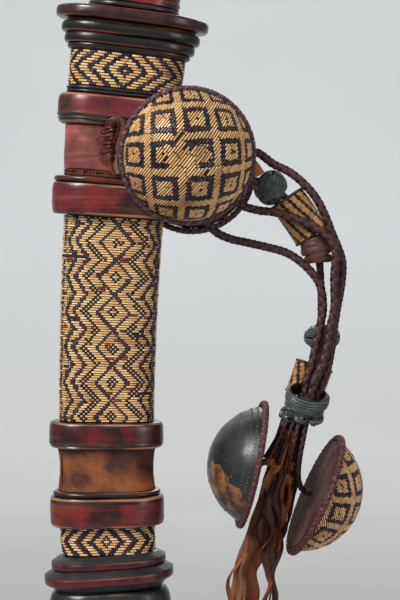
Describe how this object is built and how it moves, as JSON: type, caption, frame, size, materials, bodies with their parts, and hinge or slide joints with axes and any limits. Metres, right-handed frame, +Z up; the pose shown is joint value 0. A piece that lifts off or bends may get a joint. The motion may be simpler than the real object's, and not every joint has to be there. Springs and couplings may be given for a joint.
{
  "type": "sheathed curved sword with hanger",
  "caption": "Curved sword in a leather-ringed, straw-woven scabbard, with a braided leather hanger that carries domed roundels, sliding keepers and a leather fringe.",
  "frame": {"origin": "on the flat back face of the lower sling groove, 0.8 mm below its middle, where a display bracket could hold the scabbard", "axes": "+Z up along the scabbard towards the hilt, +Y from the front to the back, +X to the right seen from the front, towards the hanger"},
  "size_m": [0.1748, 0.091, 0.9308],
  "materials": {
    "red_leather": "dark red leather, polished and worn to brown on its edges",
    "black_leather": "black leather with a slate sheen",
    "straw_weave": "split straw woven over dark leather strips in diamonds and squares",
    "worn_leather": "bare brown leather, rubbed dull",
    "braided_leather": "plaited dark purple-brown leather with red flecks",
    "fringe_leather": "cut leather strips, orange to dark brown",
    "carved_wood": "plain carved wood",
    "blade_steel": "dull forged steel",
    "cap_brass": "worn brass"
  },
  "bodies": {
    "scabbard": {"front_lath": "carved_wood", "back_lath": "carved_wood", "throat_collar": "black_leather", "upper_woven_panel": "straw_weave", "upper_binding": "black_leather", "sling_ring_upper": "red_leather", "sling_band": "red_leather", "straw_strip": "straw_weave", "sling_ring_lower": "red_leather", "main_woven_panel": "straw_weave", "groove_ring_upper": "red_leather", "lower_groove_cover": "worn_leather", "groove_ring_lower": "red_leather", "small_woven_panel": "straw_weave", "lower_moulding": "black_leather", "bulge_ring": "black_leather", "tooled_sleeve": "black_leather", "tip_ring": "red_leather", "flared_tip": "black_leather", "sling_knot": "red_leather"},
    "sword": {"blade": "blade_steel", "grip_core": "carved_wood", "grip_leather": "red_leather", "hilt_band": "black_leather", "pommel": "red_leather", "pommel_cap": "cap_brass"},
    "front_roundel": {"front_roundel_cover": "straw_weave", "front_roundel_former": "carved_wood", "front_roundel_back": "worn_leather", "front_roundel_welt": "braided_leather"},
    "back_roundel": {"back_roundel_cover": "black_leather", "back_roundel_former": "carved_wood", "back_roundel_back": "worn_leather", "back_roundel_welt": "braided_leather"},
    "hanger_loop": {"tie_loop": "braided_leather"},
    "hanger": {"outer_cord": "braided_leather", "middle_cord": "braided_leather", "inner_cord": "braided_leather", "core_strand": "braided_leather", "turned_knot": "black_leather", "upper_keeper_sleeve": "straw_weave", "three_turn_wrap": "worn_leather", "lower_keeper_sleeve": "straw_weave", "gathering_knot": "black_leather"},
    "small_keeper": {"small_knot": "black_leather"},
    "left_roundel": {"left_roundel_cover": "black_leather", "left_roundel_former": "carved_wood", "left_roundel_back": "worn_leather", "left_roundel_welt": "braided_leather", "left_braid": "braided_leather"},
    "right_roundel": {"right_roundel_cover": "straw_weave", "right_roundel_former": "carved_wood", "right_roundel_back": "worn_leather", "right_roundel_welt": "braided_leather", "right_braid": "braided_leather"},
    "fringe": {"fringe_head": "fringe_leather", "fringe_strip_1": "fringe_leather", "fringe_strip_2": "fringe_leather", "fringe_strip_3": "fringe_leather", "fringe_strip_4": "fringe_leather"}
  },
  "joints": [
    {"name": "sword_draw", "type": "hinge", "parent": "scabbard", "child": "sword", "pos_m": [1.87, -0.01192, 0.011], "axis": [0, 1, 0], "range_deg": [0, 19.3]},
    {"name": "front_roundel_turn", "type": "hinge", "parent": "scabbard", "child": "front_roundel", "pos_m": [0.0453, -0.033, 0.1714], "axis": [0.1701, -0.9754, -0.1401], "range_deg": [-15, 15]},
    {"name": "back_roundel_turn", "type": "hinge", "parent": "scabbard", "child": "back_roundel", "pos_m": [0.0477, 0.0098, 0.1654], "axis": [0.1003, 0.9877, -0.1203], "range_deg": [-15, 15]},
    {"name": "hanger_swing", "type": "hinge", "parent": "scabbard", "child": "hanger_loop", "pos_m": [0.0551, -0.01192, 0.162], "axis": [0, 1, 0], "range_deg": [-10, 4]},
    {"name": "hanger_fore_aft", "type": "hinge", "parent": "hanger_loop", "child": "hanger", "pos_m": [0.0603, -0.012, 0.162], "axis": [1, 0, 0], "range_deg": [-8, 8]},
    {"name": "small_knot_slide", "type": "slide", "parent": "hanger", "child": "small_keeper", "axis": [-0.02, -0.03, 0.9994], "range_m": [0, 0.006]},
    {"name": "left_roundel_swing", "type": "hinge", "parent": "hanger", "child": "left_roundel", "pos_m": [0.0985, -0.0145, 0.03], "axis": [0, 1, 0], "range_deg": [0, 10]},
    {"name": "right_roundel_swing", "type": "hinge", "parent": "hanger", "child": "right_roundel", "pos_m": [0.111, -0.0135, 0.03], "axis": [0, 1, 0], "range_deg": [-10, 0]},
    {"name": "fringe_swing", "type": "hinge", "parent": "hanger", "child": "fringe", "pos_m": [0.101, -0.003, 0.0255], "axis": [1, 0, 0], "range_deg": [-2, 6]}
  ]
}
